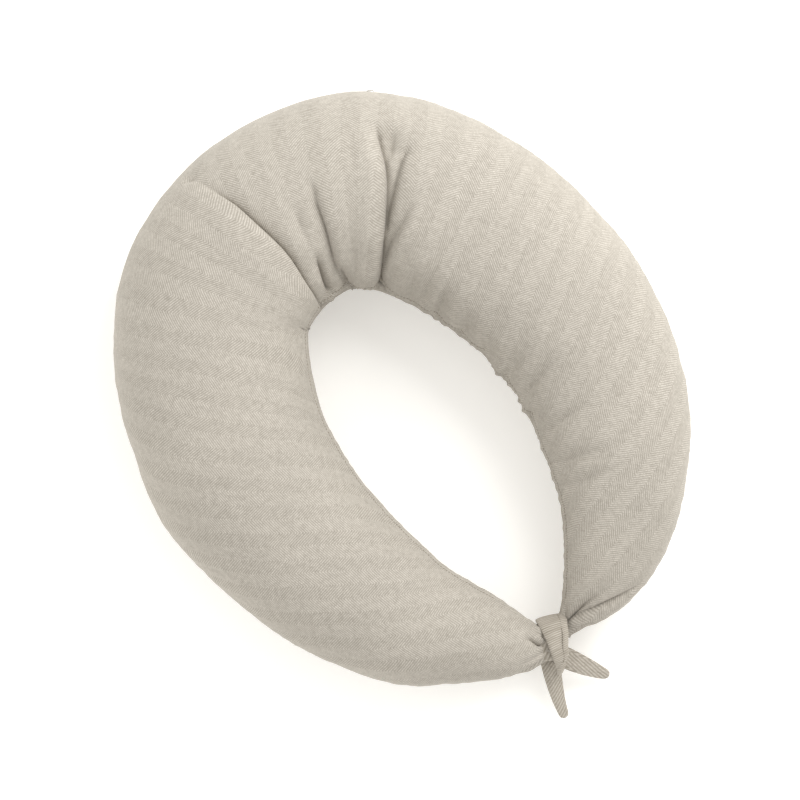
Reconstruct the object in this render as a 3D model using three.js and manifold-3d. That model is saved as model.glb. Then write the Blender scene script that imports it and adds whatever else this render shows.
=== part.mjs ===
// A ring-shaped nursing pillow: a crescent of loose filling in a liner, inside a washable
// two-panel cover with a zip round the back and a fabric tie knotted between the two horns.
// Millimetres, +Z up, lying on its lower panel at z = 0, with the knot at -Y.
import * as THREE from 'three';
import { mergeVertices } from 'three/addons/utils/BufferGeometryUtils.js';
import Module from 'manifold-3d';

// Plan of the body: a round back, then two horns that taper to the knot.
const BACK_RADIUS = 166; // centreline radius of the round back
const BACK_CENTRE_Y = 95;
const BACK_HALF_ANGLE = 40; // degrees each side of +Y
const ARM_HALF_WIDTH = 96;
const ARM_HALF_HEIGHT = 84;
const SEAM_HEIGHT = 78; // height of the outer seam at the back
const TIP_HEIGHT = 43; // height of the horn tips, where they are tied
const TIP_HALF_WIDTH = 14;
// One horn's centreline, as steps out and along from the end of the round back, and the
// half width there
const HORN = [
  [37, -50, 96],
  [62, -118, 95],
  [71, -191, 91],
  [65, -255, 85],
  [46, -319, 76],
  [14, -378, 63],
  [-28, -424, 45],
  [-69, -452, 25],
];

// Fabric and gaps
const COVER_THICKNESS = 1;
const COVER_EASE = 6; // how much larger the cover is cut than the liner
const LINER_THICKNESS = 0.6;
const GAP = 0.3;
const INNER_SEAM_LIFT = 14; // degrees that the inner seam sits above the widest line
const LINER_SETBACK = 2; // steps by which the liner stops short of each horn tip

// Zip round the back
const ZIP_HALF_ANGLE = 35;
const ZIP_SLOT_HALF_HEIGHT = 5.5;
const ZIP_DEPTH = 3.7; // from the cover's widest line in to the middle of the chain
const COIL_HEIGHT = 2.8;
const COIL_THICKNESS = 1.8;
const COIL_SPLIT = 1.2;
const TAPE_THICKNESS = 0.7;
const TAPE_HEIGHT = 8;
const STOP_LENGTH = 3;
const SLIDER_REST_ANGLE = 33; // where the slider stands with the zip closed
const SLIDER_LENGTH = 11;
const SLIDER_HEIGHT = 8.4;
const PLATE_THICKNESS = 1;
const RUNNING_GAP = 0.4;
const WEB_THICKNESS = 0.5;
const WEB_LENGTH = 4;
const BRIDGE_LENGTH = 7;
const BRIDGE_WIDTH = 2;
const BRIDGE_THICKNESS = 0.9;
const PIVOT_ROOM = 2; // clear height under the bridge for the pull tab's bar
const TAB_LENGTH = 22;
const TAB_WIDTH = 6;
const TAB_THICKNESS = 1;
const TAB_EYE_LENGTH = 4.2;
const TAB_EYE_WIDTH = 3;

// Care label, hanging from the outer seam on the side of one arm
const LABEL_STATION = 4; // steps of the horn past the round back
const LABEL_WIDTH = 26;
const LABEL_LENGTH = 28;
const LABEL_THICKNESS = 0.8;

// Knot and ties
const KNOT_X = -8;
const KNOT_Y = -244;
const KNOT_TURN = -12; // degrees about +Z
const KNOT_WIDTH = 28; // along the ties
const KNOT_HALF_LENGTH = 23; // across the ties
const KNOT_HALF_HEIGHT = 19;
const TIP_Y = -241;
const KNOT_EYE_SHARE = 0.62; // eye size over outside size
const TIE_HALF_WIDTH = 8;
const TIE_HALF_THICKNESS = 6.5;
const TIE_SEWN_IN = 9; // length of tie held inside each horn tip
const TAIL_THICKNESS = 5;
const TAIL_ROOT_WIDTH = 18;
const TAIL_TIP_WIDTH = 9;
const TAIL_ROOT_DROP = 12; // below the middle of the knot
const LEFT_TAIL = { root: [-24, -262.5], tip: [-42, -315], tipHeight: 8 };
const RIGHT_TAIL = { root: [-3.5, -268], tip: [19, -303], tipHeight: 10 };

// Facets
const BACK_STEP = 5; // degrees
const HORN_STEPS = 12;
const PANEL_STEPS = 12; // even, so that the filling's sides line up with the panels'

const radians = THREE.MathUtils.degToRad;
const outerRadius = BACK_RADIUS + ARM_HALF_WIDTH;
// how far the turned knot reaches to each side, which is where the horns end
const knotReach = KNOT_WIDTH / 2 * Math.cos(radians(KNOT_TURN))
  + KNOT_HALF_LENGTH * Math.abs(Math.sin(radians(KNOT_TURN)));

function material(name, colour, roughness, metalness = 0) {
  return new THREE.MeshStandardMaterial({ name, color: colour, roughness, metalness });
}

const coverCloth = material('cover_cloth', 0xc5beb2, 0.95);
const linerCloth = material('liner_cloth', 0xf2f0ea, 0.9);
const fibre = material('fibre', 0xf7f7f5, 1);
const zipTape = material('zip_tape', 0xb9b1a4, 0.85);
const zipNylon = material('zip_nylon', 0xc9c2b6, 0.5);
const zipMetal = material('zip_metal', 0xb8b6b0, 0.35, 0.9);
const labelSatin = material('label_satin', 0xf4f2ee, 0.5);

function mesh(name, geometry, surface) {
  const node = new THREE.Mesh(geometry, surface);
  node.name = name;
  return node;
}

// The body is a run of stations. Each one holds a point of the centreline, the direction
// out of the ring, and the half width, half height and seam height of the section there.

function stationSizes(halfWidth) {
  const full = (halfWidth - TIP_HALF_WIDTH) / (ARM_HALF_WIDTH - TIP_HALF_WIDTH);
  return {
    halfWidth,
    halfHeight: halfWidth * ARM_HALF_HEIGHT / ARM_HALF_WIDTH,
    seamHeight: THREE.MathUtils.lerp(TIP_HEIGHT, SEAM_HEIGHT, full),
  };
}

function backStation(angle) {
  const out = new THREE.Vector3(Math.sin(radians(angle)), Math.cos(radians(angle)), 0);
  const point = out.clone().multiplyScalar(BACK_RADIUS);
  point.y += BACK_CENTRE_Y;
  return { point, out, ...stationSizes(ARM_HALF_WIDTH) };
}

// side is 1 for the horn at +X and -1 for the one at -X
function hornStations(side) {
  const lead = [BACK_HALF_ANGLE / 2, BACK_HALF_ANGLE].map((angle) => {
    const { point } = backStation(angle);
    return new THREE.Vector3(side * point.x, point.y, ARM_HALF_WIDTH);
  });
  const end = backStation(BACK_HALF_ANGLE).point;
  const along = HORN.map(([x, y, halfWidth]) => (
    new THREE.Vector3(side * (end.x + x), end.y + y, halfWidth)
  ));
  const tip = new THREE.Vector3(KNOT_X + side * (knotReach + GAP), TIP_Y, TIP_HALF_WIDTH);
  const spine = new THREE.CatmullRomCurve3([...lead, ...along, tip], false, 'centripetal');
  const start = 1 / (HORN.length + 2);
  const stations = [];
  for (let i = 1; i <= HORN_STEPS; i += 1) {
    const t = THREE.MathUtils.lerp(start, 1, i / HORN_STEPS);
    const point = spine.getPoint(t);
    // the last section stands square to the knot
    const heading = i < HORN_STEPS ? spine.getTangent(t).setZ(0).normalize() : { x: -side, y: 0 };
    const out = new THREE.Vector3(-side * heading.y, side * heading.x, 0);
    stations.push({ point: new THREE.Vector3(point.x, point.y, 0), out, ...stationSizes(point.z) });
  }
  return stations;
}

// All stations, from the left horn tip round the back to the right horn tip
function ringStations() {
  const back = [];
  for (let angle = -BACK_HALF_ANGLE; angle <= BACK_HALF_ANGLE; angle += BACK_STEP) {
    back.push({ ...backStation(angle), angle });
  }
  return [...hornStations(-1).reverse(), ...back, ...hornStations(1)];
}

const stations = ringStations();

// A point of the section at a station: phi runs from the outer seam over the top, and
// inset is how far the surface lies inside the cover's outer face. At or below the floor
// the section is flat, and the fabric layers lie on each other there.
function sectionPoint(station, phi, inset, floor) {
  const across = Math.max(station.halfWidth - inset, 0) * Math.cos(phi);
  const rise = Math.max(station.halfHeight - inset, 0) * Math.sin(phi);
  const point = station.point.clone().addScaledVector(station.out, across);
  point.z = Math.max(station.seamHeight + rise, floor);
  return point;
}

// Moves every vertex of a closed geometry with place(x, y, z), and joins split vertices
function reshape(geometry, place) {
  geometry.deleteAttribute('normal');
  geometry.deleteAttribute('uv');
  const position = geometry.attributes.position;
  for (let i = 0; i < position.count; i += 1) {
    const point = place(position.getX(i), position.getY(i), position.getZ(i));
    position.setXYZ(i, point.x, point.y, point.z);
  }
  const joined = mergeVertices(geometry, 1e-4);
  joined.computeVertexNormals();
  return joined;
}

// Sections are closer together next to the seams, where the zip lies
function panelShare(share) {
  return share - 0.7 * Math.sin(2 * Math.PI * share) / (2 * Math.PI);
}

// One fabric panel: a flat sheet bent along the stations and round half of the section.
// edges(station) gives the angles of its outer and inner edges.
function panel(run, edges, outside, floor, thickness) {
  const sheet = new THREE.BoxGeometry(1, 1, 1, run.length - 1, PANEL_STEPS, 1);
  return reshape(sheet, (x, y, z) => {
    const station = run[Math.round((0.5 - x) * (run.length - 1))];
    const [from, to] = edges(station);
    const phi = THREE.MathUtils.lerp(from, to, panelShare(y + 0.5));
    const depth = (0.5 - z) * thickness;
    return sectionPoint(station, phi, outside + depth, floor + depth);
  });
}

// The angle above the widest line at which a gap edge lies this high
function edgeAngle(station, height) {
  return Math.asin(height / station.halfHeight);
}

function isZipped(station) {
  return Math.abs(station.angle ?? BACK_HALF_ANGLE) <= ZIP_HALF_ANGLE;
}

function outerEdge(station) {
  return edgeAngle(station, isZipped(station) ? ZIP_SLOT_HALF_HEIGHT : GAP / 2);
}

function makeCover() {
  const innerSeam = Math.PI - radians(INNER_SEAM_LIFT);
  const upperEdges = (s) => [outerEdge(s), innerSeam - edgeAngle(s, GAP / 2)];
  const lowerEdges = (s) => [innerSeam + edgeAngle(s, GAP / 2), 2 * Math.PI - outerEdge(s)];
  const cover = new THREE.Group();
  cover.add(
    mesh('cover_upper_panel', panel(stations, upperEdges, 0, 0, COVER_THICKNESS), coverCloth),
    mesh('cover_lower_panel', panel(stations, lowerEdges, 0, 0, COVER_THICKNESS), coverCloth),
  );
  return cover;
}

// The liner stops short of the tips and closes to a sewn point at each end
function linerStations() {
  const run = stations.slice(LINER_SETBACK, stations.length - LINER_SETBACK);
  const inset = COVER_THICKNESS + COVER_EASE;
  return run.map((station, i) => {
    const end = i === 0 || i === run.length - 1;
    const half = inset + LINER_THICKNESS + 2 * GAP;
    return end ? { ...station, halfWidth: half, halfHeight: half } : station;
  });
}

function makeInnerPillow() {
  const run = linerStations();
  const outside = COVER_THICKNESS + COVER_EASE;
  const floor = COVER_THICKNESS + GAP;
  const upperEdges = () => [radians(0.3), Math.PI - radians(0.3)];
  const lowerEdges = () => [Math.PI + radians(0.3), 2 * Math.PI - radians(0.3)];
  const inner = new THREE.Group();
  inner.add(
    mesh('liner_upper_panel', panel(run, upperEdges, outside, floor, LINER_THICKNESS), linerCloth),
    mesh('liner_lower_panel', panel(run, lowerEdges, outside, floor, LINER_THICKNESS), linerCloth),
    mesh('filling', filling(run.slice(1, -1), outside + LINER_THICKNESS + 2 * GAP,
      floor + LINER_THICKNESS + GAP), fibre),
  );
  return inner;
}

function filling(run, inset, floor) {
  const rod = new THREE.CylinderGeometry(1, 1, 1, 2 * PANEL_STEPS, run.length - 1);
  return reshape(rod, (x, y, z) => {
    const station = run[Math.round((0.5 - y) * (run.length - 1))];
    if (Math.hypot(x, z) < 0.5) {
      return new THREE.Vector3(station.point.x, station.point.y, station.seamHeight);
    }
    const share = THREE.MathUtils.euclideanModulo(Math.atan2(z, x), 2 * Math.PI) / Math.PI;
    const half = share < 1 ? 0 : 1;
    return sectionPoint(station, Math.PI * (half + panelShare(share - half)), inset, floor);
  });
}

// A band bent round the back: from and to are angles from +Y, low and high are heights
// from the seam, and the band reaches from the inner to the outer radius.
function arcBand(from, to, low, high, inner, outer) {
  const steps = Math.max(1, Math.round(Math.abs(to - from) / BACK_STEP));
  const strip = new THREE.BoxGeometry(1, 1, 1, steps, 1, 1);
  return reshape(strip, (x, y, z) => {
    const angle = radians(THREE.MathUtils.lerp(from, to, 0.5 - x));
    const radius = THREE.MathUtils.lerp(inner, outer, z + 0.5);
    const height = THREE.MathUtils.lerp(low, high, y + 0.5);
    return new THREE.Vector3(Math.sin(angle) * radius, Math.cos(angle) * radius, height);
  });
}

const chainRadius = outerRadius - ZIP_DEPTH;
const coilLow = COIL_SPLIT / 2;
const coilHigh = coilLow + COIL_HEIGHT;
const coilInner = chainRadius - COIL_THICKNESS / 2;
const coilOuter = chainRadius + COIL_THICKNESS / 2;

function makeZip() {
  const stopAngle = THREE.MathUtils.radToDeg(STOP_LENGTH / chainRadius);
  const gapAngle = THREE.MathUtils.radToDeg(GAP / chainRadius);
  const coilEnd = ZIP_HALF_ANGLE - stopAngle - gapAngle;
  const tapeInner = chainRadius - TAPE_THICKNESS / 2;
  const tapeOuter = chainRadius + TAPE_THICKNESS / 2;
  const zip = new THREE.Group();
  zip.position.set(0, BACK_CENTRE_Y, SEAM_HEIGHT);
  for (const [side, sign] of [['upper', 1], ['lower', -1]]) {
    const band = (from, to, low, high, inner, outer) => {
      const heights = [sign * low, sign * high].sort((a, b) => a - b);
      return arcBand(from, to, ...heights, inner, outer);
    };
    const tapeLow = coilHigh + GAP;
    zip.add(
      mesh(`zip_tape_${side}`, band(-ZIP_HALF_ANGLE, ZIP_HALF_ANGLE, tapeLow,
        tapeLow + TAPE_HEIGHT, tapeInner, tapeOuter), zipTape),
      mesh(`zip_coil_${side}`, band(-coilEnd, coilEnd, coilLow, coilHigh, coilInner, coilOuter),
        zipNylon),
      mesh(`zip_top_stop_${side}`, band(coilEnd + gapAngle, ZIP_HALF_ANGLE, coilLow, coilHigh,
        coilInner, coilOuter), zipMetal),
    );
  }
  zip.add(mesh('zip_bottom_stop', arcBand(-ZIP_HALF_ANGLE, -coilEnd - gapAngle, -coilHigh, coilHigh,
    coilInner, coilOuter), zipMetal));
  return zip;
}

const wasm = await Module();
wasm.setup();

function toSolid(geometry) {
  const bare = geometry.clone();
  bare.deleteAttribute('normal');
  bare.deleteAttribute('uv');
  const joined = mergeVertices(bare, 1e-4);
  const vertProperties = new Float32Array(joined.attributes.position.array);
  const triVerts = new Uint32Array(joined.index.array);
  return new wasm.Manifold(new wasm.Mesh({ numProp: 3, vertProperties, triVerts }));
}

function join(geometries) {
  const solid = geometries.map(toSolid).reduce((whole, piece) => whole.add(piece));
  const { vertProperties, triVerts } = solid.getMesh();
  const geometry = new THREE.BufferGeometry();
  geometry.setAttribute('position', new THREE.BufferAttribute(vertProperties, 3));
  geometry.setIndex(new THREE.BufferAttribute(triVerts, 1));
  geometry.computeVertexNormals();
  return geometry;
}

// The slider's own axes: +X along the zip towards its closed end, +Y out of the cover,
// +Z up, with the origin in the middle of the chain.
const plateInner = COIL_THICKNESS / 2 + RUNNING_GAP;
const plateOuter = plateInner + PLATE_THICKNESS;
const pivotOut = plateOuter + PIVOT_ROOM / 2;

function sliderPlate(out) {
  const outline = new THREE.Shape();
  const half = SLIDER_HEIGHT / 2;
  const nose = SLIDER_LENGTH / 2;
  outline.moveTo(-nose, -half * 0.8);
  outline.lineTo(nose - half, -half);
  outline.quadraticCurveTo(nose, -half, nose, 0);
  outline.quadraticCurveTo(nose, half, nose - half, half);
  outline.lineTo(-nose, half * 0.8);
  outline.closePath();
  const plate = new THREE.ExtrudeGeometry(outline, {
    depth: PLATE_THICKNESS, bevelEnabled: false, curveSegments: 4,
  });
  plate.rotateX(Math.PI / 2);
  plate.translate(0, out + PLATE_THICKNESS, 0);
  return plate;
}

// The bridge over the pull tab's bar: an arch that stands on the outer plate
function sliderBridge() {
  const top = PIVOT_ROOM + BRIDGE_THICKNESS;
  const half = BRIDGE_LENGTH / 2;
  const foot = half - BRIDGE_THICKNESS;
  const arch = new THREE.Shape();
  arch.moveTo(-half, -PLATE_THICKNESS / 2);
  arch.lineTo(-foot, -PLATE_THICKNESS / 2);
  arch.lineTo(-foot, PIVOT_ROOM * 0.6);
  arch.quadraticCurveTo(-foot, PIVOT_ROOM, -foot + 1, PIVOT_ROOM);
  arch.lineTo(foot - 1, PIVOT_ROOM);
  arch.quadraticCurveTo(foot, PIVOT_ROOM, foot, PIVOT_ROOM * 0.6);
  arch.lineTo(foot, -PLATE_THICKNESS / 2);
  arch.lineTo(half, -PLATE_THICKNESS / 2);
  arch.lineTo(half, PIVOT_ROOM * 0.6);
  arch.quadraticCurveTo(half, top, foot - 1, top);
  arch.lineTo(-foot + 1, top);
  arch.quadraticCurveTo(-half, top, -half, PIVOT_ROOM * 0.6);
  arch.closePath();
  const bridge = new THREE.ExtrudeGeometry(arch, {
    depth: BRIDGE_WIDTH, bevelEnabled: false, curveSegments: 3,
  });
  bridge.translate(0, plateOuter, -BRIDGE_WIDTH / 2);
  return bridge;
}

function makeSliderAndTab() {
  const web = new THREE.BoxGeometry(WEB_LENGTH, 2 * plateOuter - PLATE_THICKNESS, WEB_THICKNESS);
  const slider = join([
    sliderPlate(plateInner),
    sliderPlate(-plateOuter),
    web,
    sliderBridge(),
  ]);
  // The tab is a flat tongue whose end bar turns under the bridge
  const tongue = new THREE.Shape();
  const half = TAB_WIDTH / 2;
  const bar = TAB_THICKNESS / 2;
  tongue.moveTo(bar, -half);
  tongue.lineTo(bar, half);
  tongue.lineTo(bar - TAB_LENGTH + half, half);
  tongue.quadraticCurveTo(bar - TAB_LENGTH, half, bar - TAB_LENGTH, 0);
  tongue.quadraticCurveTo(bar - TAB_LENGTH, -half, bar - TAB_LENGTH + half, -half);
  tongue.closePath();
  const eye = new THREE.Path();
  eye.moveTo(-bar, -TAB_EYE_WIDTH / 2);
  eye.lineTo(-bar - TAB_EYE_LENGTH, -TAB_EYE_WIDTH / 2);
  eye.lineTo(-bar - TAB_EYE_LENGTH, TAB_EYE_WIDTH / 2);
  eye.lineTo(-bar, TAB_EYE_WIDTH / 2);
  eye.closePath();
  tongue.holes.push(eye);
  const tab = new THREE.ExtrudeGeometry(tongue, {
    depth: TAB_THICKNESS, bevelEnabled: false, curveSegments: 5,
  });
  tab.rotateX(Math.PI / 2);
  tab.translate(0, pivotOut + TAB_THICKNESS / 2, 0);

  const carriage = new THREE.Group();
  carriage.add(mesh('zip_slider', slider, zipMetal), mesh('zip_pull_tab', tab, zipMetal));
  carriage.position.y = chainRadius;
  const turn = new THREE.Group();
  turn.add(carriage);
  turn.rotation.z = -radians(SLIDER_REST_ANGLE);
  turn.position.set(0, BACK_CENTRE_Y, SEAM_HEIGHT);
  return turn;
}

function makeLabel() {
  const station = hornStations(1)[LABEL_STATION];
  const tag = new THREE.BoxGeometry(LABEL_WIDTH, LABEL_THICKNESS, LABEL_LENGTH);
  const bulge = Math.hypot(outerRadius, LABEL_WIDTH / 2) - outerRadius;
  tag.translate(0, station.halfWidth + bulge + GAP + LABEL_THICKNESS / 2, -LABEL_LENGTH / 2);
  const place = new THREE.Group();
  place.add(mesh('care_label', tag, labelSatin));
  place.rotation.z = Math.atan2(station.out.y, station.out.x) - Math.PI / 2;
  place.position.set(station.point.x, station.point.y, station.seamHeight);
  return place;
}

// A soft strap along a curve, with an oval section whose half sizes follow the length
function strap(curve, sides, steps, halfSizes) {
  const rod = new THREE.CylinderGeometry(1, 1, 1, sides, steps);
  return reshape(rod, (x, y, z) => {
    const t = y + 0.5;
    const [halfWidth, halfThickness] = halfSizes(t);
    const heading = curve.getTangent(t);
    const across = new THREE.Vector3(heading.y, -heading.x, 0).normalize();
    const normal = new THREE.Vector3().crossVectors(across, heading);
    return curve.getPoint(t)
      .addScaledVector(across, x * halfWidth)
      .addScaledVector(normal, z * halfThickness);
  });
}

// The end of each tie that is sewn into its horn tip and runs into the knot
function tieBase(side) {
  const tip = side < 0 ? stations[0] : stations[stations.length - 1];
  const inwards = new THREE.Vector3(side * tip.out.y, -side * tip.out.x, 0);
  const start = tip.point.clone().addScaledVector(inwards, TIE_SEWN_IN).setZ(tip.seamHeight);
  const end = new THREE.Vector3(KNOT_X + side * GAP, KNOT_Y, TIP_HEIGHT);
  const middle = end.clone().setX(KNOT_X + side * KNOT_WIDTH / 4);
  const curve = new THREE.QuadraticBezierCurve3(start, middle, end);
  return strap(curve, 12, 4, () => [TIE_HALF_WIDTH, TIE_HALF_THICKNESS]);
}

// The root is rounded about the line it swings on, so that it turns clear of the knot
function tail({ root, tip, tipHeight }) {
  const start = new THREE.Vector3(root[0], root[1], TIP_HEIGHT - TAIL_ROOT_DROP);
  const end = new THREE.Vector3(tip[0], tip[1], tipHeight);
  const middle = start.clone().lerp(end, 0.5).setZ(start.z - 2);
  const curve = new THREE.QuadraticBezierCurve3(start, middle, end);
  const length = curve.getLength();
  return strap(curve, 10, 10, (t) => {
    const ease = Math.min(1, Math.sin(Math.min(1, (t * length + 0.6) / TAIL_THICKNESS) * Math.PI / 2));
    const width = THREE.MathUtils.lerp(TAIL_ROOT_WIDTH, TAIL_TIP_WIDTH, t);
    return [width / 2, ease * TAIL_THICKNESS / 2];
  });
}

// The tie wound once round both bases: a soft ring about the line of the ties
function knotRing() {
  const outside = KNOT_HALF_LENGTH;
  const inside = outside * KNOT_EYE_SHARE;
  const half = KNOT_WIDTH / 2 - GAP;
  const round = (outside - inside) * 0.4;
  const profile = [
    [inside, -half + round], [inside + round, -half], [outside - round, -half],
    [outside, -half + round], [outside, half - round], [outside - round, half],
    [inside + round, half], [inside, half - round], [inside, -half + round],
  ].map(([radius, along]) => new THREE.Vector2(radius, along));
  const ring = new THREE.LatheGeometry(profile, 28);
  ring.rotateZ(Math.PI / 2);
  ring.scale(1, 1, KNOT_HALF_HEIGHT / KNOT_HALF_LENGTH);
  ring.deleteAttribute('normal');
  ring.deleteAttribute('uv');
  const joined = mergeVertices(ring, 1e-4);
  joined.computeVertexNormals();
  return joined;
}

function makeKnot() {
  const knot = new THREE.Group();
  const ring = mesh('tie_knot', knotRing(), coverCloth);
  ring.position.set(KNOT_X, KNOT_Y, TIP_HEIGHT);
  ring.rotation.z = radians(KNOT_TURN);
  knot.add(
    ring,
    mesh('tie_left_base', tieBase(-1), coverCloth),
    mesh('tie_right_base', tieBase(1), coverCloth),
    mesh('tie_left_tail', tail(LEFT_TAIL), coverCloth),
    mesh('tie_right_tail', tail(RIGHT_TAIL), coverCloth),
  );
  return knot;
}

const pillow = new THREE.Group();
pillow.add(makeCover(), makeInnerPillow(), makeZip(), makeSliderAndTab(), makeLabel(), makeKnot());

// The origin is at the middle of the base of the whole pillow
const bounds = new THREE.Box3().setFromObject(pillow);
const middle = bounds.getCenter(new THREE.Vector3());
pillow.position.set(-middle.x, -middle.y, 0);

export default pillow;
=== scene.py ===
import math

import bpy
import numpy as np
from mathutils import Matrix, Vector, noise


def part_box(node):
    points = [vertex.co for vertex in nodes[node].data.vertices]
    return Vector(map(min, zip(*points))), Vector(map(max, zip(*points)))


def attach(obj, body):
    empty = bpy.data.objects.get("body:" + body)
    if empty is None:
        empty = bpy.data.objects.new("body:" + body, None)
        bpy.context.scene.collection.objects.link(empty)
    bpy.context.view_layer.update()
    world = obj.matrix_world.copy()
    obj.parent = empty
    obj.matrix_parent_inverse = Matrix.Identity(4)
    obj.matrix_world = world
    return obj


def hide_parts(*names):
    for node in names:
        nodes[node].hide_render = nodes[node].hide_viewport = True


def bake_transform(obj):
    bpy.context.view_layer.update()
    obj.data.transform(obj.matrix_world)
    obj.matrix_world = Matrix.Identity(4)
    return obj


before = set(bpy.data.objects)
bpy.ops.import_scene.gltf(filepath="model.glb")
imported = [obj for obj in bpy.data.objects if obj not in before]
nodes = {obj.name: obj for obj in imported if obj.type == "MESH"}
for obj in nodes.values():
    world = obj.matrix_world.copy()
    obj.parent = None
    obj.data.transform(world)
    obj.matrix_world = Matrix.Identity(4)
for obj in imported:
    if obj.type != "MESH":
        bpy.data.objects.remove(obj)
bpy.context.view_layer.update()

mm = 0.001


# Small tools

def linear(hexColour):
    # an sRGB hex colour as the linear one that the shaders work in
    parts = [int(hexColour[i:i + 2], 16) / 255 for i in (1, 3, 5)]
    return tuple(p / 12.92 if p <= 0.04045 else ((p + 0.055) / 1.055) ** 2.4 for p in parts) + (1.0,)


def setSockets(node, sockets):
    # each socket gets a fixed value, or a link from another node's output
    for name, value in sockets.items():
        if isinstance(value, bpy.types.NodeSocket):
            node.id_data.links.new(value, node.inputs[name])
        else:
            node.inputs[name].default_value = value


def addNode(tree, kind, sockets=None, stops=None, **settings):
    # settings are the node's own properties; stops are a colour ramp's places and hex colours
    made = tree.nodes.new("ShaderNode" + kind)
    for name, value in settings.items():
        setattr(made, name, value)
    for k, (position, hexColour) in enumerate(stops or []):
        made.color_ramp.elements[k].position = position
        made.color_ramp.elements[k].color = linear(hexColour)
    setSockets(made, sockets or {})
    return made


def newMaterial(name):
    material = bpy.data.materials.new(name)
    material.use_nodes = True
    tree = material.node_tree
    tree.nodes.clear()
    surface = addNode(tree, "BsdfPrincipled")
    addNode(tree, "OutputMaterial", {"Surface": surface.outputs[0]})
    return material, tree, surface


def smoothStep(x):
    x = np.clip(x, 0, 1)
    return x * x * (3 - 2 * x)


def bell(x, width):
    return np.exp(-(x / width) ** 2)


def unit(vectors):
    return vectors / np.maximum(np.linalg.norm(vectors, axis=-1, keepdims=True), 1e-9)


def distances(line):
    # how far each point is along a line
    return np.concatenate([[0], np.cumsum(np.linalg.norm(np.diff(line, axis=0), axis=1))])


def eased(values, times, closed=False):
    # each value moves towards its neighbours, again and again; an open row keeps its ends
    values = values.copy()
    for _ in range(times):
        if closed:
            values = 0.25 * np.roll(values, 1, 0) + 0.5 * values + 0.25 * np.roll(values, -1, 0)
        else:
            values[1:-1] = 0.25 * values[:-2] + 0.5 * values[1:-1] + 0.25 * values[2:]
    return values


def addMesh(name, points, faces, material, weave=None):
    # points in millimetres; weave gives each face corner its place on the flat cloth
    mesh = bpy.data.meshes.new(name)
    mesh.from_pydata((np.asarray(points) * mm).tolist(), [], [list(map(int, f)) for f in faces])
    mesh.materials.append(material)
    mesh.polygons.foreach_set("use_smooth", [True] * len(mesh.polygons))
    if weave is not None:
        layer = mesh.uv_layers.new(name="weave")
        layer.data.foreach_set("uv", (np.asarray(weave, float) * mm).ravel())
    mesh.update()
    piece = bpy.data.objects.new(name, mesh)
    bpy.context.scene.collection.objects.link(piece)
    return piece


def gridFaces(columns, rows, closed=False):
    # quads of a grid whose point number is column * rows + row
    i, j = np.meshgrid(np.arange(columns - 1), np.arange(rows if closed else rows - 1), indexing="ij")
    k = (j + 1) % rows
    return np.stack([i * rows + j, i * rows + k, (i + 1) * rows + k, (i + 1) * rows + j], -1).reshape(-1, 4)


def tubeFaces(rings, sides, start=0):
    # a closed grid with its two ends capped
    faces = (gridFaces(rings, sides, closed=True) + start).tolist()
    first = [start + k for k in range(sides)]
    return faces + [first[::-1], [k + (rings - 1) * sides for k in first]]


# Camera, straight down from far off with a long lens, as for a catalogue page

studio = {
    "turn": -33.65,  # the page's up direction, degrees from +Y
    "aim": (-3.5, 21.5),
    "viewWidth": 800,
    "viewHeight": 78,  # the height at which that width is measured, the pillow's widest line
    "lens": 300,
    "sensor": 36,
    "floor": "#f7f6f3",
    "floorSize": 12000,
    "floorPaintedGlow": 0.24,  # painted light: the floor glows a little, which keeps the shadows pale
    "key": {"power": 42, "size": 1500, "up": 1250, "right": 1050, "height": 1500},
    "fill": {"power": 9, "size": 2000, "up": -450, "right": -1600, "height": 1000},
    "sky": 0.97,
}


def makeStudio():
    scene = bpy.context.scene
    scene.view_settings.view_transform = "Standard"
    turn = math.radians(studio["turn"])
    right = Vector((math.cos(turn), math.sin(turn), 0))
    up = Vector((-math.sin(turn), math.cos(turn), 0))
    aim = Vector((*studio["aim"], 0)) * mm
    camera = bpy.data.objects.new("camera", bpy.data.cameras.new("camera"))
    camera.data.lens = studio["lens"]
    camera.data.sensor_width = studio["sensor"]
    away = studio["viewWidth"] * studio["lens"] / studio["sensor"] + studio["viewHeight"]
    camera.location = aim + Vector((0, 0, away * mm))
    camera.rotation_euler = (0, 0, turn)
    camera.data.clip_end = 20
    scene.collection.objects.link(camera)
    scene.camera = camera

    for name in ("key", "fill"):
        setting = studio[name]
        light = bpy.data.objects.new(name, bpy.data.lights.new(name, "AREA"))
        light.data.energy = setting["power"]
        light.data.size = setting["size"] * mm
        light.location = aim + (up * setting["up"] + right * setting["right"]) * mm
        light.location.z = setting["height"] * mm
        light.rotation_euler = (light.location - aim).to_track_quat("Z", "Y").to_euler()
        scene.collection.objects.link(light)

    world = bpy.data.worlds.new("studio")
    world.use_nodes = True
    setSockets(world.node_tree.nodes["Background"], {"Color": linear("#fbfaf8"), "Strength": studio["sky"]})
    scene.world = world

    floorSheet, _, surface = newMaterial("floor_sheet_matt_painted_glow")  # a floor sheet that glows with painted light: flat, no shine
    setSockets(surface, {
        "Base Color": linear(studio["floor"]), "Roughness": 1.0, "Specular IOR Level": 0.1,
        # the emission is painted light: the floor glows so that the shadows cast on it stay pale
        "Emission Color": linear("#fdfcfa"), "Emission Strength": studio["floorPaintedGlow"],
    })
    half = studio["floorSize"] / 2
    floor = addMesh("floor", [(-half, -half, 0), (half, -half, 0), (half, half, 0), (-half, half, 0)],
                    [(0, 1, 2, 3)], floorSheet)
    print("studio ready")


makeStudio()


# Materials

cottonTwill = {
    "light": "#c0bab0",
    "dark": "#857f75",
    "stripe": 13.6,  # width of one herringbone stripe
    "twillStep": 2.9,  # along a stripe, from one twill line to the next; real ribs are finer
    "relief": 0.45,
    "toneSpread": 0.04,
}


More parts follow.
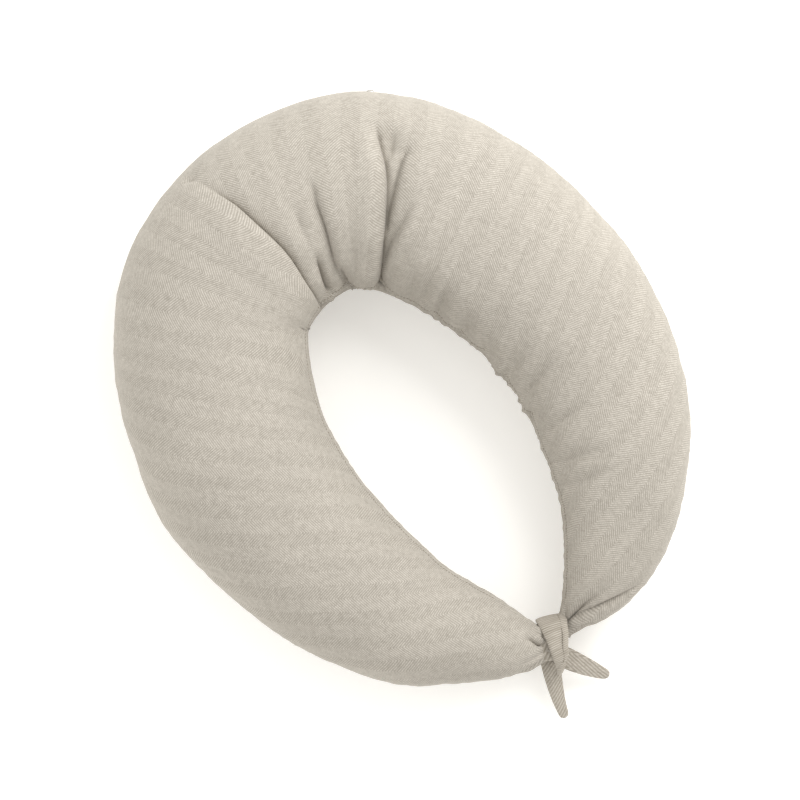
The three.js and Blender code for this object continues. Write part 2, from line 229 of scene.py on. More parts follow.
def makeHerringbone(name, setting):
    # Herringbone-woven cotton, washed and unfinished: matt and faintly ribbed, the stripes
    # catch the light by turns, and the yarn has slubs. Real twill lines are about 1.6 mm
    # apart, too fine to show, so they are drawn coarser.
    material, tree, surface = newMaterial(name)
    cloth = addNode(tree, "UVMap", uv_map="weave")
    place = addNode(tree, "TexCoord")
    drift = addNode(tree, "TexNoise", {"Vector": place.outputs["Object"], "Scale": 14.0, "Detail": 2.0})
    shifted = addNode(tree, "VectorMath", {0: drift.outputs["Color"], 1: (0.5, 0.5, 0.5)},
                      operation="SUBTRACT")
    wander = addNode(tree, "VectorMath", {0: shifted.outputs[0], "Scale": 0.004}, operation="SCALE")
    where = addNode(tree, "VectorMath", {0: cloth.outputs[0], 1: wander.outputs[0]})
    split = addNode(tree, "SeparateXYZ", {0: where.outputs[0]})
    zigzag = addNode(tree, "Math", {0: split.outputs[0], 1: setting["stripe"] * mm}, operation="PINGPONG")
    run = addNode(tree, "Math", {0: split.outputs[1], 1: zigzag.outputs[0]}, operation="ADD")
    phase = addNode(tree, "Math", {0: run.outputs[0], 1: 2 * math.pi / (setting["twillStep"] * mm)},
                    operation="MULTIPLY")
    wave = addNode(tree, "Math", {0: phase.outputs[0]}, operation="SINE")
    rib = addNode(tree, "MapRange", {"Value": wave.outputs[0], "From Min": -1.0, "From Max": 1.0},
                  interpolation_type="SMOOTHSTEP")
    # single floats break the ribs up
    yarn = addNode(tree, "TexNoise", {"Vector": where.outputs[0], "Scale": 900.0, "Detail": 1.0})
    slub = addNode(tree, "TexNoise", {"Vector": where.outputs[0], "Scale": 160.0, "Detail": 3.0,
                                      "Roughness": 0.7})
    yarnEnd = addNode(tree, "MapRange", {"Value": yarn.outputs[0], "From Min": 0.3, "From Max": 0.7,
                                         "To Min": 0.2})
    ribYarn = addNode(tree, "Math", {0: rib.outputs[0], 1: yarnEnd.outputs[0]}, operation="MULTIPLY")
    tone = addNode(tree, "Math", {0: ribYarn.outputs[0], 1: 0.6, 2: 0.08}, operation="MULTIPLY_ADD")
    slubTone = addNode(tree, "Math", {0: slub.outputs[0], 1: 0.55, 2: tone.outputs[0]},
                       operation="MULTIPLY_ADD")
    # each second stripe is painted a little lighter: painted sheen, for how the two twill directions catch the
    # light by turns
    side = addNode(tree, "Math", {0: split.outputs[0], 1: 2 * setting["stripe"] * mm},
                   operation="FLOORED_MODULO")
    half = addNode(tree, "Math", {0: side.outputs[0], 1: setting["stripe"] * mm}, operation="GREATER_THAN")
    toneAndStripeSheen = addNode(tree, "Math", {0: half.outputs[0], 1: 0.05, 2: slubTone.outputs[0]},
                         operation="MULTIPLY_ADD")
    colours = addNode(tree, "ValToRGB", {"Fac": toneAndStripeSheen.outputs[0]},
                      stops=[(0.15, setting["dark"]), (0.95, setting["light"])])
    patch = addNode(tree, "TexNoise", {"Vector": place.outputs["Object"], "Scale": 9.0, "Detail": 3.0})
    spread = setting["toneSpread"]
    fade = addNode(tree, "MapRange", {"Value": patch.outputs[0], "From Min": 0.25, "From Max": 0.75,
                                      "To Min": 1 - spread, "To Max": 1 + spread})
    worn = addNode(tree, "VectorMath", {0: colours.outputs[0], "Scale": fade.outputs[0]}, operation="SCALE")
    rough = addNode(tree, "MapRange", {"Value": rib.outputs[0], "To Min": 0.97, "To Max": 0.86})
    bump = addNode(tree, "Bump", {"Height": toneAndStripeSheen.outputs[0], "Strength": 0.55,
                                  "Distance": setting["relief"] * mm})
    setSockets(surface, {
        "Base Color": worn.outputs[0], "Roughness": rough.outputs[0], "Normal": bump.outputs[0],
        "IOR": 1.5, "Specular IOR Level": 0.25,
        "Sheen Weight": 0.18, "Sheen Roughness": 0.5, "Sheen Tint": linear("#f2efe8"),
    })
    return material


coverCotton = makeHerringbone("herringbone_cotton_woven", cottonTwill)
tieCotton = makeHerringbone("herringbone_cotton_tie", {
    **cottonTwill, "light": "#c0b9ae", "dark": "#7d766a", "stripe": 22.0, "twillStep": 4.1, "relief": 0.5,
})


def makePlainWeave(name, colour, shade, thread, roughness, sheen, relief):
    # A plain or tape weave: small squares of warp and weft, with a soft shine. Real threads
    # are 0.2 to 0.3 mm thick and would not show, so the squares are drawn coarser.
    material, tree, surface = newMaterial(name)
    place = addNode(tree, "TexCoord")
    checks = addNode(tree, "TexVoronoi", {"Vector": place.outputs["Object"], "Scale": 1000 / thread},
                     distance="CHEBYCHEV")
    cloudy = addNode(tree, "TexNoise", {"Vector": place.outputs["Object"], "Scale": 25.0, "Detail": 3.0})
    both = addNode(tree, "Math", {0: checks.outputs[0], 1: cloudy.outputs[0]}, operation="MULTIPLY")
    colours = addNode(tree, "ValToRGB", {"Fac": both.outputs[0]}, stops=[(0, colour), (0.6, shade)])
    rough = addNode(tree, "MapRange", {"Value": checks.outputs[0], "To Min": roughness,
                                       "To Max": roughness * 0.88})
    bump = addNode(tree, "Bump", {"Height": checks.outputs[0], "Strength": 0.4, "Distance": relief * mm},
                   invert=True)
    setSockets(surface, {"Base Color": colours.outputs[0], "Roughness": rough.outputs[0],
                         "Normal": bump.outputs[0], "Sheen Weight": sheen})
    return material


linerCotton = makePlainWeave("bleached_cotton_plain_weave", "#f3f1ea", "#dedbd2", 0.9, 0.92, 0.15, 0.1)
zipTapePolyester = makePlainWeave("polyester_zip_tape_woven", "#b5ad9f", "#9b9385", 0.8, 0.8, 0.2, 0.15)
labelSatin = makePlainWeave("polyester_satin_calendered", "#f6f4ee", "#e6e3da", 0.6, 0.42, 0.3, 0.05)


def makeThread(name, colour, shade):
    # Spun polyester sewing thread: two plies, faintly glossy
    material, tree, surface = newMaterial(name)
    place = addNode(tree, "TexCoord")
    ply = addNode(tree, "TexWave", {"Vector": place.outputs["Object"], "Scale": 420.0, "Distortion": 1.5},
                  bands_direction="DIAGONAL")
    colours = addNode(tree, "ValToRGB", {"Fac": ply.outputs["Fac"]}, stops=[(0, shade), (1, colour)])
    rough = addNode(tree, "MapRange", {"Value": ply.outputs["Fac"], "To Min": 0.72, "To Max": 0.58})
    bump = addNode(tree, "Bump", {"Height": ply.outputs["Fac"], "Strength": 0.3, "Distance": 0.1 * mm})
    setSockets(surface, {"Base Color": colours.outputs[0], "Roughness": rough.outputs[0],
                         "Normal": bump.outputs[0], "Sheen Weight": 0.2})
    return material


# both threads are drawn darker than the cloth: partly their own colour, partly painted shade standing for the
# shadow in the stitch grooves; the knot's thread is the darker
seamThread = makeThread("polyester_thread_spun", "#8f8677", "#6b6255")
knotThread = makeThread("polyester_thread_spun_dark", "#766d5e", "#524a3e")


def makeZipMetal():
    # Zinc alloy, die-cast and nickel plated: warm grey, slightly brushed by tumbling
    material, tree, surface = newMaterial("zinc_alloy_nickel_plated")
    place = addNode(tree, "TexCoord")
    grain = addNode(tree, "TexNoise", {"Vector": place.outputs["Object"], "Scale": 700.0, "Detail": 4.0})
    colours = addNode(tree, "ValToRGB", {"Fac": grain.outputs[0]}, stops=[(0, "#a8a59e"), (1, "#cfccc5")])
    rough = addNode(tree, "MapRange", {"Value": grain.outputs[0], "To Min": 0.24, "To Max": 0.42})
    setSockets(surface, {"Base Color": colours.outputs[0], "Roughness": rough.outputs[0], "Metallic": 1.0})
    return material


def makeNylon():
    # Nylon 6.6 monofilament, wound hot into the zip's coil: milky and satin
    material, tree, surface = newMaterial("nylon_coil_monofilament")
    place = addNode(tree, "TexCoord")
    cloud = addNode(tree, "TexNoise", {"Vector": place.outputs["Object"], "Scale": 300.0, "Detail": 2.0})
    colours = addNode(tree, "ValToRGB", {"Fac": cloud.outputs[0]}, stops=[(0, "#b4ac9e"), (1, "#cbc4b7")])
    rough = addNode(tree, "MapRange", {"Value": cloud.outputs[0], "To Min": 0.38, "To Max": 0.5})
    setSockets(surface, {"Base Color": colours.outputs[0], "Roughness": rough.outputs[0], "IOR": 1.53})
    return material


zipMetal = makeZipMetal()
zipNylon = makeNylon()
print("materials ready")


# The ring: a middle line with a half width at each place, from the left tie round the back
# to the right tie. Along is the distance on that line from the middle of the back, and
# turn is the angle round the section, from the outer seam over the top.

ring = {
    "middleLine": [
        (-13, -268, 12), (-27, -260, 23), (-40, -250, 30), (-55, -236, 40), (-84, -206, 53),
        (-115, -171, 66), (-139, -127, 76), (-156, -81, 82), (-168, -34, 88), (-173, 14, 94),
        (-170, 70, 97), (-155, 124, 97), (-131, 172, 97), (-103, 208, 98), (-49, 234, 98),
        (10, 240, 97), (64, 229, 98), (109, 193, 98), (135, 158, 98), (156, 113, 96),
        (173, 61, 93), (181, 7, 90), (181, -41, 86), (171, -90, 81), (153, -137, 74),
        (127, -182, 63), (94, -217, 51), (69, -236, 42), (38, -251, 27), (18, -257, 15), (-2, -263, 9),
    ],
    "easing": 300,
    "backMiddle": (10, 240),
    "heightShare": 0.875,  # half height over half width
    "fullSeamHeight": 78,
    "tipSeamHeight": 43,
    "fullHalfWidth": 96,
    "tipHalfWidth": 9,
    "innerSeamTurn": 175,
    "squareness": 0.95,
    # how far apart the mesh columns stand along the line: close at the folds and the ties
    "columnSteps": [(-670, 1.5), (-600, 3.1), (-120, 3.1), (-75, 1.8), (150, 1.8), (240, 2.6), (560, 3.0),
                    (600, 1.7), (670, 1.5)],
    "upperRows": 104,
    "lowerRows": 60,
}


def middleLine():
    # a centripetal Catmull-Rom line through the places, then eased
    knots = np.array(ring["middleLine"], float)
    gaps = np.sqrt(np.linalg.norm(np.diff(knots[:, :2], axis=0), axis=1))
    times = np.concatenate([[0], np.cumsum(gaps)])
    knots = np.vstack([2 * knots[0] - knots[1], knots, 2 * knots[-1] - knots[-2]])
    times = np.concatenate([[-gaps[0]], times, [times[-1] + gaps[-1]]])
    line = []
    for i in range(1, len(knots) - 2):
        t0, t1, t2, t3 = times[i - 1:i + 3]
        for t in np.linspace(t1, t2, 40, endpoint=False):
            a = ((t1 - t) * knots[i - 1] + (t - t0) * knots[i]) / (t1 - t0)
            b = ((t2 - t) * knots[i] + (t - t1) * knots[i + 1]) / (t2 - t1)
            c = ((t3 - t) * knots[i + 1] + (t - t2) * knots[i + 2]) / (t3 - t2)
            ab = ((t2 - t) * a + (t - t0) * b) / (t2 - t0)
            bc = ((t3 - t) * b + (t - t1) * c) / (t3 - t1)
            line.append(((t2 - t) * ab + (t - t1) * bc) / (t2 - t1))
    line = eased(np.array(line + [knots[-2]]), ring["easing"])
    reached = distances(line[:, :2])
    middle = reached[np.argmin(np.linalg.norm(line[:, :2] - ring["backMiddle"], axis=1))]
    return reached - middle, line, unit(np.gradient(line[:, :2], axis=0))


lineAlong, linePoints, lineHeading = middleLine()


def ringSurface(along, turn):
    # points of the plain stuffed ring, before any fold; along and turn may be grids
    x, y, halfWidth = (np.interp(along, lineAlong, linePoints[:, k]) for k in range(3))
    hx, hy = (np.interp(along, lineAlong, lineHeading[:, k]) for k in range(2))
    full = (halfWidth - ring["tipHalfWidth"]) / (ring["fullHalfWidth"] - ring["tipHalfWidth"])
    seam = ring["tipSeamHeight"] + (ring["fullSeamHeight"] - ring["tipSeamHeight"]) * np.clip(full, 0, 1) ** 0.8
    c, s = np.cos(np.radians(turn)), np.sin(np.radians(turn))
    across = halfWidth * np.sign(c) * np.abs(c) ** ring["squareness"]
    rise = halfWidth * ring["heightShare"] * np.sign(s) * np.abs(s) ** ring["squareness"]
    z = seam + rise
    z = np.where(z > 30, z, 5 * np.logaddexp(0, (np.minimum(z, 30) - 1) / 5) + 0.8)  # flat where it lies
    z = np.maximum(z, 0.8)
    return np.stack([x - hy * across, y + hx * across, z], -1)


def columnPlaces():
    at, step = zip(*ring["columnSteps"])
    fine = np.linspace(lineAlong[0], lineAlong[-1], 4000)
    count = np.concatenate([[0], np.cumsum(np.diff(fine) / np.interp(fine[1:], at, step))])
    return np.interp(np.linspace(0, count[-1], int(count[-1])), count, fine)


def rowTurns(upper, lower):
    # rows stand closer together next to the two seams
    def spaced(start, end, count):
        p = np.arange(count) / count
        return start + (end - start) * (p - 0.45 * np.sin(2 * np.pi * p) / (2 * np.pi))
    seam = ring["innerSeamTurn"]
    return np.concatenate([spaced(0, seam, upper), spaced(seam, 360, lower)])


def gridNormals(points):
    along = np.gradient(points, axis=0)
    padded = np.concatenate([points[:, -1:], points, points[:, :1]], 1)
    around = padded[:, 2:] - padded[:, :-2]
    return unit(np.cross(around, along))


# Folds that the closed ring forces into the cover. Each runs through (along, turn) places;
# depth is how far it sinks, near and far are its widths on its two sides, lean is how far
# the cloth on the near side laps over it, and bulge swells the cloth beside it.

foldUsual = {"fadeIn": 0.5, "fadeOut": 0.3, "side": -1}

folds = [
    # the arm laps over the back in one long tuck
    {"path": [(-49, 26), (-45, 40), (-43, 57), (-40, 69), (-39, 82), (-37, 93), (-35, 105), (-35, 114),
              (-38, 126), (-43, 138), (-47, 150), (-48, 168), (-46, 190)], "depth": 9, "near": 4.5, "far": 9,
     "lean": 8, "bulge": 2.2, "swell": 26, "fadeIn": 0.3, "fadeOut": 0.2},
    {"path": [(-42, 40), (-39, 57), (-36, 69), (-35, 82), (-33, 93), (-31, 105), (-31, 114), (-34, 126),
              (-39, 138), (-43, 150)], "depth": 6, "near": 7, "far": 32},
    # the pinched end of the tuck
    {"path": [(-54, 24), (-48, 30), (-44, 36)], "depth": 4.5, "near": 4, "far": 7, "lean": 1, "fadeIn": 0.4,
     "fadeOut": 0.4},
    # the deep crease at the middle
    {"path": [(83, 46), (87, 63), (95, 78), (99, 92), (103, 110), (104, 124), (107, 139), (109, 156),
              (110, 172), (108, 188)], "depth": 15, "near": 4, "far": 10, "lean": 5, "bulge": 3, "swell": 16,
     "fadeIn": 0.12, "fadeOut": 0.15},
    {"path": [(97, 46), (98, 60), (99, 74)], "depth": 8, "near": 7, "far": 7, "fadeIn": 0.4, "fadeOut": 0.4},
    {"path": [(116, 56), (112, 68), (111, 84), (110, 103), (109, 123)], "depth": 12, "near": 4.5, "far": 10,
     "lean": 4, "fadeIn": 0.3, "fadeOut": 0.25, "side": 1},
    {"path": [(132, 80), (129, 95), (126, 111), (120, 125), (117, 140), (115, 158)], "depth": 12, "near": 5,
     "far": 11, "lean": 3, "bulge": 2, "side": 1},
    # soft folds between the two
    {"path": [(29, 72), (31, 85), (31, 97), (31, 108), (28, 122), (22, 139), (18, 155), (19, 168)], "depth": 12,
     "near": 4.5, "far": 14, "lean": 5, "fadeIn": 0.35, "fadeOut": 0.35, "side": 1},
    {"path": [(1, 118), (-6, 132), (-13, 146), (-17, 158), (-18, 172)], "depth": 12, "near": 3.5, "far": 7,
     "lean": 3.5, "fadeIn": 0.4, "fadeOut": 0.2},
    {"path": [(36, 138), (33, 150), (30, 162), (30, 174)], "depth": 9, "near": 3.5, "far": 6, "lean": 3,
     "fadeIn": 0.4, "fadeOut": 0.2, "side": 1},
    {"path": [(6, 84), (3, 96), (-1, 108), (-8, 122)], "depth": 5.5, "near": 8, "far": 9, "fadeOut": 0.5},
    {"path": [(60, 106), (62, 124), (66, 142), (70, 160)], "depth": 2.5, "near": 9, "far": 11, "fadeOut": 0.4},
    {"path": [(84, 120), (88, 138), (92, 156)], "depth": 2.2, "near": 6, "far": 7, "fadeOut": 0.4},
    # puckers along the right arm's inner seam
    {"path": [(146, 108), (140, 124), (135, 142), (131, 162)], "depth": 6, "near": 6, "far": 8},
    {"path": [(160, 124), (167, 140), (173, 159), (176, 174)], "depth": 6.4, "near": 5.5, "far": 8,
     "fadeIn": 0.45},
    {"path": [(182, 118), (187, 134), (191, 150), (192, 172)], "depth": 6.4, "near": 5.5, "far": 8},
    {"path": [(205, 124), (211, 142), (215, 160), (216, 178)], "depth": 6.6, "near": 5, "far": 8,
     "fadeIn": 0.4},
    {"path": [(258, 132), (256, 150), (254, 168), (254, 190)], "depth": 5.6, "near": 6, "far": 8,
     "fadeIn": 0.4},
    {"path": [(284, 140), (291, 156), (296, 174), (298, 192)], "depth": 4.8, "near": 6, "far": 8,
     "fadeIn": 0.4},
    {"path": [(318, 112), (329, 132), (334, 148), (338, 166), (340, 186)], "depth": 5.6, "near": 6, "far": 9},
    {"path": [(345, 98), (357, 116), (367, 134), (375, 150), (380, 168)], "depth": 6.2, "near": 6, "far": 10,
     "lean": 1.5},
    {"path": [(396, 138), (402, 152), (406, 170), (408, 186)], "depth": 4.8, "near": 6, "far": 8},
    {"path": [(412, 96), (418, 112), (426, 130), (433, 148), (437, 166)], "depth": 5, "near": 7, "far": 10},
    {"path": [(460, 92), (466, 106), (470, 124), (474, 144), (477, 164)], "depth": 5.6, "near": 7, "far": 10,
     "lean": 1},
    {"path": [(484, 86), (490, 102), (498, 124), (505, 146), (509, 166)], "depth": 4.5, "near": 7, "far": 10},
    # the cloth stands out between the puckers
    {"path": [(250, 152), (254, 168), (255, 184), (255, 196)], "depth": -2.4, "near": 8, "far": 8,
     "fadeIn": 0.4},
    {"path": [(326, 146), (329, 160), (330, 176), (330, 194)], "depth": -4.6, "near": 9, "far": 7,
     "fadeIn": 0.4},
    {"path": [(392, 150), (395, 164), (396, 180), (396, 194)], "depth": -2.8, "near": 8, "far": 7,
     "fadeIn": 0.4},
    # gathers at the right tie
    {"path": [(668, 92), (656, 90), (640, 88), (628, 86), (612, 78), (596, 70)], "depth": 9, "near": 4,
     "far": 6, "lean": 2, "fadeIn": 0.02, "fadeOut": 0.6, "side": 1},
    {"path": [(668, 76), (655, 72), (641, 66), (626, 58), (610, 44), (592, 26), (574, 14)], "depth": 8,
     "near": 3.5, "far": 6, "lean": 3, "bulge": 2, "swell": 10, "fadeIn": 0.02, "fadeOut": 0.45, "side": 1},
    {"path": [(668, 122), (655, 130), (644, 148), (636, 166)], "depth": 4, "near": 3.5, "far": 5,
     "fadeIn": 0.05, "fadeOut": 0.6},
    {"path": [(668, 40), (650, 34), (632, 22), (616, 8)], "depth": 4, "near": 4, "far": 5, "fadeIn": 0.05,
     "fadeOut": 0.6},
    # gathers at the left tie
    {"path": [(-665, 84), (-658, 88), (-648, 104), (-636, 112)], "depth": 9.5, "near": 3.5, "far": 7,
     "lean": 2.5, "fadeIn": 0.03, "fadeOut": 0.5, "side": 1},
    {"path": [(-665, 60), (-655, 56), (-644, 50), (-630, 44)], "depth": 4.5, "near": 4, "far": 6,
     "fadeIn": 0.05, "fadeOut": 0.6},
    {"path": [(-665, 30), (-655, 24), (-640, 16), (-622, 8)], "depth": 4, "near": 5, "far": 6, "fadeIn": 0.05,
     "fadeOut": 0.6},
    {"path": [(-665, 130), (-655, 142), (-640, 152)], "depth": 3, "near": 4, "far": 6, "fadeIn": 0.05,
     "fadeOut": 0.6},
]


def foldLine(fold, count=70):
    # evenly spaced points of the fold on the plain ring, with headings and sideways directions
    path = np.array(fold["path"], float)
    share = np.linspace(0, 1, len(path))
    fine = np.linspace(0, 1, count)
    along, turn = (np.interp(fine, share, path[:, k]) for k in range(2))
    along, turn = eased(along, 12), eased(turn, 12)
    points = ringSurface(along, turn)
    ahead = ringSurface(along + 1, turn) - points
    heading = unit(np.gradient(points, axis=0))
    sideways = unit(ahead - (ahead * heading).sum(1, keepdims=True) * heading)
    return along, points, heading, sideways


def pressFolds(points, plain, normals, along):
    moved = points.copy()
    for setting in folds:
        fold = {**foldUsual, **setting}
        lineAt, line, heading, sideways = foldLine(fold)
        side = fold["side"]
        reach = 3.2 * max(fold["near"], fold["far"], fold.get("swell", 0))
        columns = np.nonzero((along > lineAt.min() - 3 * reach) & (along < lineAt.max() + 3 * reach))[0]
        rel = plain[columns][:, :, None] - line
        nearest = np.argmin((rel ** 2).sum(-1), -1)
        rel = np.take_along_axis(rel, nearest[..., None, None], 2)[:, :, 0]
        forward = (rel * heading[nearest]).sum(-1)
        x = (rel * sideways[nearest]).sum(-1)
        # real distance off the line, with the sign of its side
        x = np.sign(x) * np.sqrt(np.maximum((rel ** 2).sum(-1) - forward ** 2, 0))
        share = nearest / (len(line) - 1)
        strength = smoothStep(share / fold["fadeIn"]) * smoothStep((1 - share) / fold["fadeOut"])
        ends = (nearest == 0) | (nearest == len(line) - 1)
        strength = strength * np.where(ends, bell(forward, fold["far"]), 1)
        x = x * -side  # negative on the near side, which laps over
        width = np.where(x < 0, fold["near"], fold["far"])
        sink = -fold["depth"] * np.exp(-(np.abs(x) / width) ** 1.25)
        swell = fold.get("swell", 12)
        sink += fold.get("bulge", 0) * np.where(x < 0, bell(x + 0.8 * swell, 0.6 * swell), 0)
        lap = fold.get("lean", 0) * bell(x + fold["near"], 1.3 * fold["near"])
        moved[columns] += (strength * sink)[..., None] * normals[columns]
        moved[columns] += (strength * lap * -side)[..., None] * sideways[nearest]
    return moved


def softUnevenness(points, normals, along):
    # loose fibre never fills a tube quite evenly
    lumps = np.empty(points.shape[:2])
    for i in range(points.shape[0]):
        for j in range(points.shape[1]):
            p = Vector(points[i, j])
            lumps[i, j] = 2.6 * noise.noise(p / 85) + 0.9 * noise.noise(p / 34)
    ends = smoothStep((lineAlong[-1] - np.abs(along)) / 90)
    flat = smoothStep((points[..., 2] - 2) / 25)
    return points + (lumps * ends[:, None] * flat)[..., None] * normals


seams = {
    "grooveDepth": 2.0,
    "grooveWidth": 2.6,
    "puckerDepth": 1.1,
    "puckerReach": 17,
    "topstitchOffset": 11,
    "stitchDepth": 0.9,
}


def rowDistance(points, row):
    # distance over the cloth from one row, on its section
    steps = np.linalg.norm(np.diff(points, axis=1, append=points[:, :1]), axis=-1)
    total = steps.sum(1, keepdims=True)
    before = np.concatenate([np.zeros((len(steps), 1)), np.cumsum(steps, 1)[:, :-1]], 1)
    off = np.abs(before - before[:, row:row + 1])
    return np.minimum(off, total - off)


def pressSeams(points, normals, along, innerRow):
    moved = points.copy()
    for row, strength in ((innerRow, 1.0), (0, 0.7)):
        off = rowDistance(points, row)
        gathered = np.full(len(along), 0.3)
        if row:
            gathered = 0.35 + 0.65 * smoothStep((along + 70) / 40) * smoothStep((540 - along) / 80)
        wave = np.array([noise.noise(Vector((a / 7.5, row * 0.37, 2.5))) for a in along])
        wave += 0.5 * np.array([noise.noise(Vector((a / 3.6, row * 0.37, 8.5))) for a in along])
        pucker = 2.2 * seams["puckerDepth"] * (wave * gathered)[:, None]
        pucker = pucker * bell(off - 3, seams["puckerReach"] * 0.6)
        groove = -seams["grooveDepth"] * strength * np.exp(-off / seams["grooveWidth"])
        groove += 0.5 * bell(off - 3.5, 2.0) * strength
        if row:
            groove -= seams["stitchDepth"] * bell(off - seams["topstitchOffset"], 1.5)
        moved += (pucker + groove)[..., None] * normals
    return moved


zipSetting = {
    "centre": (0, 75.1),
    "chainRadius": 258.3,
    "height": 78,
    "halfAngle": 35,
    "tabReach": 43,
    "tabWidth": 9,
    "tabClear": 1.9,
    "lipHeight": 4.6,  # from the middle of the chain to a lip's edge
}


def openForZip(points, row, sign):
    # one panel's edge folds under beside the zip; sign is 1 for the upper panel
    off = rowDistance(points, row)
    rel = points[..., :2] - zipSetting["centre"]
    radius = np.linalg.norm(rel, axis=-1)
    angle = np.degrees(np.arctan2(rel[..., 0], rel[..., 1]))
    open_ = smoothStep((zipSetting["halfAngle"] + 1.5 - np.abs(angle[:, row:row + 1])) / 3)
    outward = np.concatenate([rel / radius[..., None], np.zeros(radius.shape + (1,))], -1)
    moved = points.copy()
    edge = zipSetting["chainRadius"] + 0.8
    short = edge + 1.6 - radius[:, row:row + 1]
    moved += (np.maximum(short, 0) * open_ * bell(off, 22))[..., None] * outward
    deep = np.maximum(radius[:, row:row + 1] - edge, 0) + np.minimum(np.maximum(short, 0), 1.6)
    moved -= (deep * open_ * bell(off, 3.2))[..., None] * outward
    moved[..., 2] += (sign * zipSetting["lipHeight"] * open_ * np.exp(-off / 10))
    level = zipSetting["height"] - points[:, row:row + 1, 2]
    moved[..., 2] += level * open_ * np.exp(-off / 10)
    # past the zip's ends the cloth lies low enough for the pull tab
    near = smoothStep((zipSetting["tabReach"] - np.abs(angle)) / 3)
    near = near * bell(moved[..., 2] - zipSetting["height"], zipSetting["tabWidth"])
    lowest = zipSetting["chainRadius"] + zipSetting["tabClear"]
    proud = np.linalg.norm(moved[..., :2] - zipSetting["centre"], axis=-1) - lowest
    moved -= (np.maximum(proud, 0) * near)[..., None] * outward
    return moved


# How the cloth's stripes lie: degrees from straight across the tube, at places along it

grain = {
    "leftArm": [(-670, 76), (-564, 66), (-455, 51), (-338, 36), (-207, 23), (-168, 12), (-113, 0), (-40, -10)],
    "rest": [(-60, 22), (52, 2), (126, -5), (194, -4), (328, -32), (506, -51), (581, -70), (670, -84)],
}


def clothPlaces(along, points, crestRow, table):
    # each point's place on the flat cloth: across the stripes, and along them
    at, degreesOff = zip(*table)
    fine = np.linspace(lineAlong[0], lineAlong[-1], 3000)
    angle = np.radians(np.interp(fine, at, degreesOff))
    step = fine[1] - fine[0]
    walkU = np.interp(along, fine, np.cumsum(np.cos(angle)) * step)
    walkV = np.interp(along, fine, np.cumsum(np.sin(angle)) * step)
    here = np.interp(along, fine, angle)
    steps = np.linalg.norm(np.diff(points, axis=1), axis=-1)
    off = np.concatenate([np.zeros((len(along), 1)), np.cumsum(steps, 1)], 1)
    off = off[:, crestRow:crestRow + 1] - off
    across = walkU[:, None] - off * np.sin(here)[:, None]
    return np.stack([across, walkV[:, None] + off * np.cos(here)[:, None]], -1)


def makeCover():
    along = columnPlaces()
    turns = rowTurns(ring["upperRows"], ring["lowerRows"])
    innerRow = ring["upperRows"]
    plain = ringSurface(along[:, None] + 0 * turns, turns[None] + 0 * along[:, None])
    normals = gridNormals(plain)
    shape = softUnevenness(plain, normals, along)
    shape = pressFolds(shape, plain, normals, along)
    shape = pressSeams(shape, gridNormals(shape), along, innerRow)
    shape[..., 2] = np.maximum(shape[..., 2], 0.6)
    print("cover shaped:", shape.shape[0], "columns", shape.shape[1], "rows")

    foldAlong, foldTurn = np.array(folds[0]["path"], float).T
    count = shape.shape[1]
    for name, rows, sign in (
        ("cover_upper", np.arange(0, innerRow + 1), 1),
        ("cover_lower", np.r_[np.arange(innerRow, count), 0], -1),
    ):
        panelShape = openForZip(shape, 0, sign)[:, rows]
        panelTurns = turns[rows].copy()
        if sign < 0:
            panelTurns[-1] = 360
        crest = int(np.argmin(np.abs(panelTurns - (90 if sign > 0 else 270))))
        flatPlaces = [clothPlaces(along, plain[:, rows], crest, grain[k]) for k in ("leftArm", "rest")]
        faces = gridFaces(len(along), len(rows))
        # the tuck parts the two runs of cloth
        column = np.clip(faces[:, 0] // len(rows), 0, len(along) - 1)
        middleTurn = panelTurns[faces[:, 0] % len(rows)]
        if sign > 0:
            left = along[column] < np.interp(middleTurn, foldTurn, foldAlong) - 0.5
        else:
            left = along[column] < -47
        corners = faces.reshape(-1)
        weave = np.where(np.repeat(left, 4)[:, None], flatPlaces[0].reshape(-1, 2)[corners],
                         flatPlaces[1].reshape(-1, 2)[corners])
        piece = addMesh(name, panelShape.reshape(-1, 3), faces, coverCotton, weave)
        thick = piece.modifiers.new("cloth thickness", "SOLIDIFY")
        thick.thickness = 1.0 * mm
        thick.offset = -1
        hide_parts(name + "_panel")
        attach(piece, "pillow")
    return along, turns, shape


coverAlong, coverTurns, coverShape = makeCover()


inner = {"topGap": 24, "bottomGap": 2.5, "everyColumn": 4, "everyRow": 3, "setback": 55}


def makeInnerPillow():
    # the liner's outside, clear of the deepest folds of the cover
    keep = coverAlong[np.abs(coverAlong) < lineAlong[-1] - inner["setback"]][::inner["everyColumn"]]
    turns = coverTurns[::inner["everyRow"]]
    plain = ringSurface(keep[:, None] + 0 * turns, turns[None] + 0 * keep[:, None])
    gap = inner["bottomGap"] + (inner["topGap"] - inner["bottomGap"]) * smoothStep(plain[..., 2:] / 50)
    centre = plain.mean(axis=1, keepdims=True)
    share = 1 - gap[..., 0] / np.linalg.norm(plain - centre, axis=-1)
    shape = centre + (plain - centre) * np.maximum(share, 0.3)[..., None]
    piece = addMesh("inner_pillow", shape.reshape(-1, 3), tubeFaces(len(keep), len(turns)), linerCotton)
    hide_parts("liner_upper_panel", "liner_lower_panel", "filling")
    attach(piece, "pillow")


makeInnerPillow()
print("inner pillow ready")


